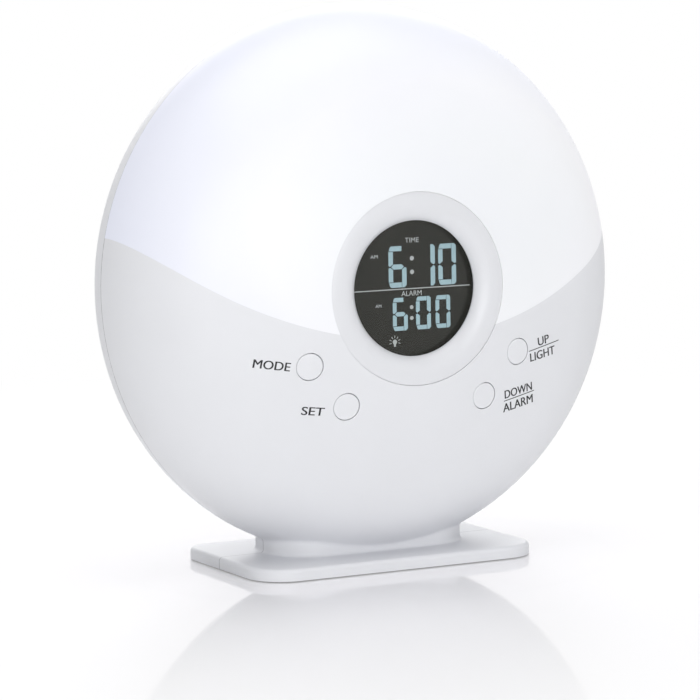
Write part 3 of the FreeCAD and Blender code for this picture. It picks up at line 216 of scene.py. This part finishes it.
def window_glass(name):
    """Dark tinted window with faint smears in its gloss."""
    made = Nodes(name)
    smear = made.noise(60.0, 4.0, 0.6)
    made.link(made.ramp(smear, [(0.3, (0.020, 0.020, 0.017)), (0.7, (0.026, 0.026, 0.021))]),
              made.shader.inputs["Base Color"])
    made.link(made.spread(smear, 0.3, 0.7, 0.05, 0.09), made.shader.inputs["Roughness"])
    made.shader.inputs["Alpha"].default_value = 0.25
    return made.material


def lit(name, tones, strength):
    """Lit display ink, a little uneven like a backlit segment."""
    made = Nodes(name)
    uneven = made.noise(700.0, 2.0)
    base = shade(tones)
    dim = tuple(part * 0.93 for part in base)
    colour = made.ramp(uneven, [(0.3, dim), (0.7, base)])
    made.link(colour, made.shader.inputs["Base Color"])
    made.link(colour, made.shader.inputs["Emission Color"])
    made.shader.inputs["Emission Strength"].default_value = strength
    made.shader.inputs["Roughness"].default_value = 0.5
    return made.material


# The case colour carries painted shade along the seam between its halves
CASE = mottled("case_satin_white", (229, 230, 234), 0.45, spread=0.006, seam_shade=True)
RING = mottled("ring_satin_white", (226, 227, 231), 0.34, spread=0.006)
KEYS = mottled("key_satin_white", (230, 231, 235), 0.36, spread=0.006)
GLOW = glowing_shell("diffuser_milky_glow")
WINDOW = window_glass("window_tinted")
LCD = mottled("lcd_dark_glass", (56, 57, 50), 0.22, relief=0.02)
GUIDE = mottled("light_guide_clear", (225, 235, 242), 0.15)
BLACK = mottled("black_moulded", (34, 34, 36), 0.45, spread=0.08)
GREY_RUBBER = mottled("grey_rubber", (70, 70, 72), 0.75, spread=0.08, grain=RUBBER_GRAIN, relief=0.4)
FOOT_RUBBER = mottled("foot_rubber", (58, 58, 62), 0.70, spread=0.08, grain=RUBBER_GRAIN, relief=0.3)
BOARD = mottled("board_green", (36, 92, 58), 0.35, spread=0.12, relief=0.2)
CHIP = mottled("chip_black", (30, 30, 32), 0.5, spread=0.08)
TIN = mottled("tin_plated", (196, 195, 192), 0.32, metallic=1.0)
LAMP = mottled("lamp_warm", (248, 236, 190), 0.30, spread=0.04)
WHITE = mottled("reflector_gloss_white", (242, 242, 242), 0.22, spread=0.01)
FERRITE = mottled("ferrite", (66, 66, 70), 0.55, spread=0.10)
PAPER = mottled("cone_paper", (36, 35, 34), 0.85, spread=0.18, grain=1500.0, relief=0.5)
CELL = mottled("cell_bare_steel", (150, 152, 156), 0.34, metallic=0.9)
ZINC = mottled("zinc_steel", (182, 182, 184), 0.33, metallic=1.0)
LEAD = mottled("lead_insulation", (176, 42, 36), 0.5, spread=0.06)
INK = mottled("legend_ink", (26, 26, 30), 0.5, spread=0.10)
SEGMENT = lit("segment_light", (182, 214, 224), 0.72)
LABEL = lit("display_label_light", (206, 212, 212), 0.62)

FINISHES = {
    CASE: ("front_cover", "rear_shell", "battery_door"),
    RING: ("display_bezel",),
    KEYS: ("mode_button", "set_button", "down_button", "up_button"),
    GLOW: ("light_diffuser",),
    WINDOW: ("display_lens",),
    LCD: ("lcd_panel",),
    GUIDE: ("backlight_guide",),
    BLACK: ("lcd_frame", "mode_switch", "set_switch", "down_switch", "up_switch", "dc_jack",
            "mode_plunger", "set_plunger", "down_plunger", "up_plunger"),
    GREY_RUBBER: ("contact_strip", "speaker_gasket"),
    FOOT_RUBBER: ("rubber_feet",),
    BOARD: ("main_board", "lamp_board", "power_board"),
    CHIP: ("controller_chip",),
    TIN: ("clock_crystal", "supply_capacitor", "speaker_frame", "dc_jack_pin", "battery_plates",
          "battery_springs"),
    LAMP: ("lamp_leds", "backlight_leds"),
    WHITE: ("reflector",),
    FERRITE: ("speaker_magnet",),
    PAPER: ("speaker_cone",),
    CELL: ("battery_cells",),
    ZINC: ("case_screws", "board_screws", "reflector_screws", "power_board_screws", "lamp_board_screws",
           "speaker_screws"),
    LEAD: ("lamp_lead", "speaker_lead", "power_lead"),
}
for material, names in FINISHES.items():
    for name in names:
        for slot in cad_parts[name].material_slots:
            slot.material = material


# Pieces drawn on the object: display segments, words and lines

def piece_of(name, mesh, material, body="housing"):
    thing = bpy.data.objects.new(name, mesh)
    bpy.context.scene.collection.objects.link(thing)
    mesh.materials.clear()
    mesh.materials.append(material)
    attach(thing, body)


def shift(work, geometry, aside, deep):
    """Moves the points among `geometry` by `aside` millimetres along X and `deep` along Y."""
    points = [part for part in geometry if isinstance(part, bmesh.types.BMVert)]
    bmesh.ops.translate(work, verts=points, vec=(aside * MM, deep * MM, 0.0))


def thicken(mesh, depth):
    """Gives a flat drawing a body: `depth` millimetres towards +Y."""
    work = bmesh.new()
    work.from_mesh(mesh)
    grown = bmesh.ops.extrude_face_region(work, geom=list(work.faces))
    shift(work, grown["geom"], 0.0, depth)
    bmesh.ops.recalc_face_normals(work, faces=work.faces)
    work.to_mesh(mesh)
    work.free()


def struck_twice(mesh):
    """Bolder letters: a second print beside the first, and a hair in front so that they share no plane."""
    work = bmesh.new()
    work.from_mesh(mesh)
    second = bmesh.ops.duplicate(work, geom=work.verts[:] + work.edges[:] + work.faces[:])
    shift(work, second["geom"], INK_SPREAD, -INK_STEP)
    work.to_mesh(mesh)
    work.free()


def plates(outlines, depth):
    """One mesh of thin plates in the XZ plane, each from an outline of (x, height) in millimetres."""
    mesh = bpy.data.meshes.new("plates")
    work = bmesh.new()
    for outline in outlines:
        work.faces.new([work.verts.new((x * MM, 0.0, z * MM)) for x, z in outline])
    work.to_mesh(mesh)
    work.free()
    thicken(mesh, depth)
    return mesh


def oblong(left, low, right, high):
    return [(left, low), (right, low), (right, high), (left, high)]


def disc(x, z, radius):
    turns = [2 * math.pi * step / DISC_POINTS for step in range(DISC_POINTS)]
    return [(x + radius * math.cos(turn), z + radius * math.sin(turn)) for turn in turns]


SEGMENTS = {"6": "acdefg", "0": "abcdef", "1": "bc"}


def digit(character, x, z, wide, high, stroke):
    """Outlines of a seven-segment digit with its lower left corner at (x, z)."""
    s, g = stroke, SEGMENT_GAP
    middle = z + high / 2
    top, right = z + high, x + wide
    chamfer, slant, notch, dip, half = s * 0.45, s * 0.6, s * 0.35, s * 0.2, s * 0.5
    shapes = {
        "a": [(x + g + chamfer * 0.4, top - chamfer * 0.7), (x + g + chamfer, top), (right - s - g, top),
              (right - s - g, top - s), (x + s, top - s), (x + g, top - s * 0.95)],
        "b": [(right - s, top), (right - chamfer, top), (right, top - chamfer), (right, middle + g + dip),
              (right - notch, middle + g), (right - s, middle + slant)],
        "c": [(right - s, middle - slant), (right - notch, middle - g), (right, middle - g - dip),
              (right, z + chamfer), (right - chamfer, z), (right - s, z)],
        "d": [(x + g, z + s * 0.95), (x + g + chamfer * 0.4, z + chamfer * 0.7), (x + g + chamfer, z),
              (right - s - g, z), (right - s - g, z + s), (x + s, z + s)],
        "e": [(x, z + s + g), (x + s, z + s + g), (x + s, middle - slant), (x + notch, middle - g),
              (x, middle - g - dip)],
        "f": [(x, middle + g + dip), (x + notch, middle + g), (x + s, middle + slant),
              (x + s, top - s - g), (x, top - s - g)],
        "g": [(x + slant, middle), (x + s + g, middle + half), (right - s - g, middle + half),
              (right - slant, middle), (right - s - g, middle - half), (x + s + g, middle - half)],
    }
    return [shapes[key] for key in SEGMENTS[character]]


def word_mesh(word, high, wide):
    """Flat letters fitted to `wide` by `high` millimetres, with their lower left corner at the origin."""
    curve = bpy.data.curves.new("word", "FONT")
    curve.body = word
    curve.fill_mode = "FRONT"
    curve.resolution_u = 6
    thing = bpy.data.objects.new("word", curve)
    bpy.context.scene.collection.objects.link(thing)
    bpy.context.view_layer.update()
    mesh = bpy.data.meshes.new_from_object(thing.evaluated_get(bpy.context.evaluated_depsgraph_get()))
    bpy.data.objects.remove(thing)
    xs = [vertex.co.x for vertex in mesh.vertices]
    ys = [vertex.co.y for vertex in mesh.vertices]
    across = wide * MM / (max(xs) - min(xs))
    upright = high * MM / (max(ys) - min(ys))
    for vertex in mesh.vertices:
        vertex.co = Vector(((vertex.co.x - min(xs)) * across, 0.0, (vertex.co.y - min(ys)) * upright))
    return mesh


def on_display(name, outlines, material):
    mesh = plates(outlines, LIT_THICK)
    mesh.transform(Matrix.Translation((0.0, LIT_FRONT * MM, 0.0)))
    piece_of(name, mesh, material)


def display_digits(name, low, high, stroke, digits):
    """A row of digits, each given as its character, left edge and width."""
    outlines = []
    for character, left, wide in digits:
        outlines += digit(character, left, low, wide, high, stroke)
    on_display(name, outlines, SEGMENT)


def display_word(name, word, left, low, high, wide):
    mesh = word_mesh(word, high, wide)
    thicken(mesh, LIT_THICK)
    mesh.transform(Matrix.Translation((left * MM, LIT_FRONT * MM, low * MM)))
    piece_of(name, mesh, LABEL)


def print_on_dome(name, mesh, left, low, tilt):
    """Turns a flat drawing by `tilt` degrees, moves it to (left, low) and lays it on the dome."""
    turn = Matrix.Rotation(math.radians(tilt), 2)
    for vertex in mesh.vertices:
        flat = turn @ Vector((vertex.co.x, vertex.co.z)) / MM
        x, z = flat.x + left, flat.y + low
        lift = vertex.co.y / MM - INK_PROUD
        vertex.co = Vector((x, dome_y(x, z - AXIS_HEIGHT) + lift, z)) * MM
    piece_of(name, mesh, INK)


def dome_word(name, word, left, low, high, wide, tilt):
    mesh = word_mesh(word, high, wide - INK_SPREAD)
    struck_twice(mesh)
    thicken(mesh, INK_THICK)
    print_on_dome(name, mesh, left, low, tilt)


def dome_line(name, left, low, length, thick, tilt):
    cuts = [length * step / LINE_STEPS for step in range(LINE_STEPS + 1)]
    pieces = [oblong(start, 0.0, end, thick) for start, end in zip(cuts, cuts[1:])]
    print_on_dome(name, plates(pieces, INK_THICK), left, low, tilt)


# The display: two rows of seven-segment digits, their labels and the alarm-light sign

display_digits("time_digits", AXIS_HEIGHT + 0.3, 12.4, 1.5,
               [("6", -7.5, 6.05), ("1", 2.25, 6.05), ("0", 9.45, 6.1)])
display_digits("alarm_digits", AXIS_HEIGHT - 12.7, 9.9, 1.28,
               [("6", -6.3, 5.05), ("0", 1.6, 5.05), ("0", 8.3, 5.05)])
on_display("time_colon", [disc(0.45, AXIS_HEIGHT + 4.75, 0.68), disc(0.45, AXIS_HEIGHT + 8.85, 0.68)], LABEL)
on_display("alarm_colon", [disc(0.13, AXIS_HEIGHT - 9.1, 0.6), disc(0.13, AXIS_HEIGHT - 5.85, 0.6)], LABEL)
display_word("time_word", "TIME", -1.8, AXIS_HEIGHT + 13.6, 1.45, 4.7)
display_word("time_am", "AM", -13.6, AXIS_HEIGHT + 9.35, 1.1, 2.5)
display_word("alarm_word", "ALARM", -3.3, AXIS_HEIGHT - 2.4, 1.5, 6.9)
display_word("alarm_am", "AM", -12.1, AXIS_HEIGHT - 5.4, 0.95, 1.95)
on_display("divider", [oblong(-19.6, AXIS_HEIGHT - 0.39, 20.2, AXIS_HEIGHT - 0.09)], LABEL)

BULB_X, BULB_Z, BULB_RADIUS = -5.75, AXIS_HEIGHT - 16.0, 0.72
CAP_HALF, CAP_LOW, CAP_HIGH = 0.34, BULB_Z - 1.4, BULB_Z - 0.5
RAY_START, RAY_END, RAY_HALF = 1.2, 1.95, 0.08
bulb = [disc(BULB_X, BULB_Z, BULB_RADIUS), oblong(BULB_X - CAP_HALF, CAP_LOW, BULB_X + CAP_HALF, CAP_HIGH)]
for angle in range(-15, 196, 35):
    way = Vector((math.cos(math.radians(angle)), math.sin(math.radians(angle))))
    side = Vector((-way.y, way.x)) * RAY_HALF
    start, end = way * RAY_START, way * RAY_END
    corners = (start - side, end - side, end + side, start + side)
    bulb.append([(BULB_X + corner.x, BULB_Z + corner.y) for corner in corners])
on_display("alarm_light_sign", bulb, LABEL)

# The words beside the buttons, printed on the dome

dome_word("legend_mode", "MODE", -52.3, 65.7, 2.6, 11.0, -8.4)
dome_word("legend_set", "SET", -37.4, 50.8, 2.5, 7.0, -5.8)
dome_word("legend_up", "UP", 43.8, 66.1, 2.6, 4.7, 10.5)
dome_line("legend_up_line", 40.1, 64.65, 12.6, 0.26, 11.3)
dome_word("legend_light", "LIGHT", 40.9, 61.4, 2.7, 10.4, 9.6)
dome_word("legend_down", "DOWN", 31.7, 50.7, 2.6, 11.0, 10.0)
dome_line("legend_down_line", 31.5, 49.85, 12.1, 0.26, 11.2)
dome_word("legend_alarm", "ALARM", 31.6, 46.4, 2.7, 12.0, 10.6)

# Floor, backdrop and light, in metres

PURE_WHITE = (1.0, 1.0, 1.0, 1.0)
FLOOR_SIDE, FLOOR_HEIGHT = 200.0, -0.00005
MIRROR_SHARE, MIRROR_NEAR, MIRROR_FAR = 0.68, 0.08, 0.27
WHITE_SHARE, WHITE_NEAR, WHITE_FAR = 0.65, 0.12, 0.50
SKY_ON_OBJECT = 0.35
CLOCK_MIDDLE = (0.0, 0.0, 0.085)


def plain(name, side, height, material):
    mesh = bpy.data.meshes.new(name)
    half = side / 2
    corners = [(x, y, height) for x, y in oblong(-half, -half, half, half)]
    mesh.from_pydata(corners, [], [(0, 1, 2, 3)])
    mesh.materials.append(material)
    thing = bpy.data.objects.new(name, mesh)
    bpy.context.scene.collection.objects.link(thing)


def background_rays(add, link):
    """1 for the rays that should find a white background: seen directly, in gloss or through glass."""
    path = add("ShaderNodeLightPath")
    either = add("ShaderNodeMath")
    either.operation = "MAXIMUM"
    link(path.outputs["Is Camera Ray"], either.inputs[0])
    link(path.outputs["Is Glossy Ray"], either.inputs[1])
    every = add("ShaderNodeMath")
    every.operation = "MAXIMUM"
    link(either.outputs["Value"], every.inputs[0])
    link(path.outputs["Is Transmission Ray"], every.inputs[1])
    return every.outputs["Value"]


def floor_material():
    """Glossy white table: a mirror image that fades with distance, and a soft shadow near the object."""
    made = Nodes("floor_gloss_white")
    cloud = made.noise(3.0, 2.0)
    made.link(made.ramp(cloud, [(0.3, (0.89, 0.89, 0.89)), (0.7, (0.91, 0.91, 0.91))]),
              made.shader.inputs["Base Color"])
    made.shader.inputs["Roughness"].default_value = 0.5
    away = made.add("ShaderNodeVectorMath", operation="LENGTH")
    made.link(made.place(), away.inputs[0])
    distance = away.outputs["Value"]
    white = made.add("ShaderNodeEmission")
    white.inputs["Color"].default_value = PURE_WHITE
    white.inputs["Strength"].default_value = 1.0
    mirror = made.add("ShaderNodeBsdfGlossy")
    mirror.inputs["Roughness"].default_value = 0.05
    mirror.inputs["Color"].default_value = (0.97, 0.955, 1.0, 1.0)
    sheen = made.add("ShaderNodeMixShader")
    made.link(made.spread(distance, MIRROR_NEAR, MIRROR_FAR, MIRROR_SHARE, 0.0), sheen.inputs["Fac"])
    made.link(white.outputs["Emission"], sheen.inputs[1])
    made.link(mirror.outputs["BSDF"], sheen.inputs[2])
    share = made.add("ShaderNodeMath", operation="MULTIPLY")
    made.link(background_rays(made.add, made.link), share.inputs[0])
    made.link(made.spread(distance, WHITE_NEAR, WHITE_FAR, WHITE_SHARE, 1.0), share.inputs[1])
    top = made.add("ShaderNodeMixShader")
    made.link(share.outputs["Value"], top.inputs["Fac"])
    made.link(made.shader.outputs["BSDF"], top.inputs[1])
    made.link(sheen.outputs["Shader"], top.inputs[2])
    made.link(top.outputs["Shader"], made.output.inputs["Surface"])
    return made.material


plain("floor", FLOOR_SIDE, FLOOR_HEIGHT, floor_material())

world = bpy.data.worlds.new("studio")
bpy.context.scene.world = world
world.use_nodes = True
sky = world.node_tree
background = sky.nodes["Background"]
background.inputs["Color"].default_value = PURE_WHITE
level = sky.nodes.new("ShaderNodeMapRange")
level.inputs["To Min"].default_value = SKY_ON_OBJECT
level.inputs["To Max"].default_value = 1.0
sky.links.new(background_rays(sky.nodes.new, sky.links.new), level.inputs["Value"])
sky.links.new(level.outputs["Result"], background.inputs["Strength"])


def softbox(name, place, target, width, height, power):
    light = bpy.data.lights.new(name, "AREA")
    light.shape = "RECTANGLE"
    light.size = width
    light.size_y = height
    light.energy = power
    thing = bpy.data.objects.new(name, light)
    bpy.context.scene.collection.objects.link(thing)
    thing.location = place
    thing.rotation_euler = (Vector(target) - Vector(place)).to_track_quat("-Z", "Y").to_euler()


softbox("key_softbox", (-0.63, -1.67, 0.34), CLOCK_MIDDLE, 1.8, 0.6, 12.8)
softbox("top_softbox", (0.0, -0.15, 2.45), (0.0, 0.0, 0.0), 2.2, 2.2, 33.0)
softbox("back_softbox", (0.5, 1.35, 0.75), CLOCK_MIDDLE, 1.2, 0.7, 7.5)

# Camera at the photograph's angle: its place and reach in metres, its lens and sensor in millimetres

TURN, TIP, ROLL = math.radians(27.40), math.radians(6.21), math.radians(-0.97)
CAMERA_PLACE = (-0.4684, -0.9002, 0.1749)
VIEW_REACH = 50.0
FOCAL_LENGTH, SENSOR_WIDTH = 169.22, 36.0

ahead = Vector((math.sin(TURN) * math.cos(TIP), math.cos(TURN) * math.cos(TIP), -math.sin(TIP)))
across = ahead.cross(Vector((0.0, 0.0, 1.0))).normalized()
upward = across.cross(ahead)
right = across * math.cos(ROLL) + upward * math.sin(ROLL)
up = upward * math.cos(ROLL) - across * math.sin(ROLL)
lens_data = bpy.data.cameras.new("photo_camera")
lens_data.sensor_fit = "HORIZONTAL"
lens_data.sensor_width = SENSOR_WIDTH
lens_data.lens = FOCAL_LENGTH
lens_data.clip_end = VIEW_REACH
camera = bpy.data.objects.new("photo_camera", lens_data)
bpy.context.scene.collection.objects.link(camera)
frame_of_view = Matrix((right, up, -ahead)).transposed().to_4x4()
frame_of_view.translation = Vector(CAMERA_PLACE)
camera.matrix_world = frame_of_view
bpy.context.scene.camera = camera

bpy.context.scene.view_settings.view_transform = "Standard"
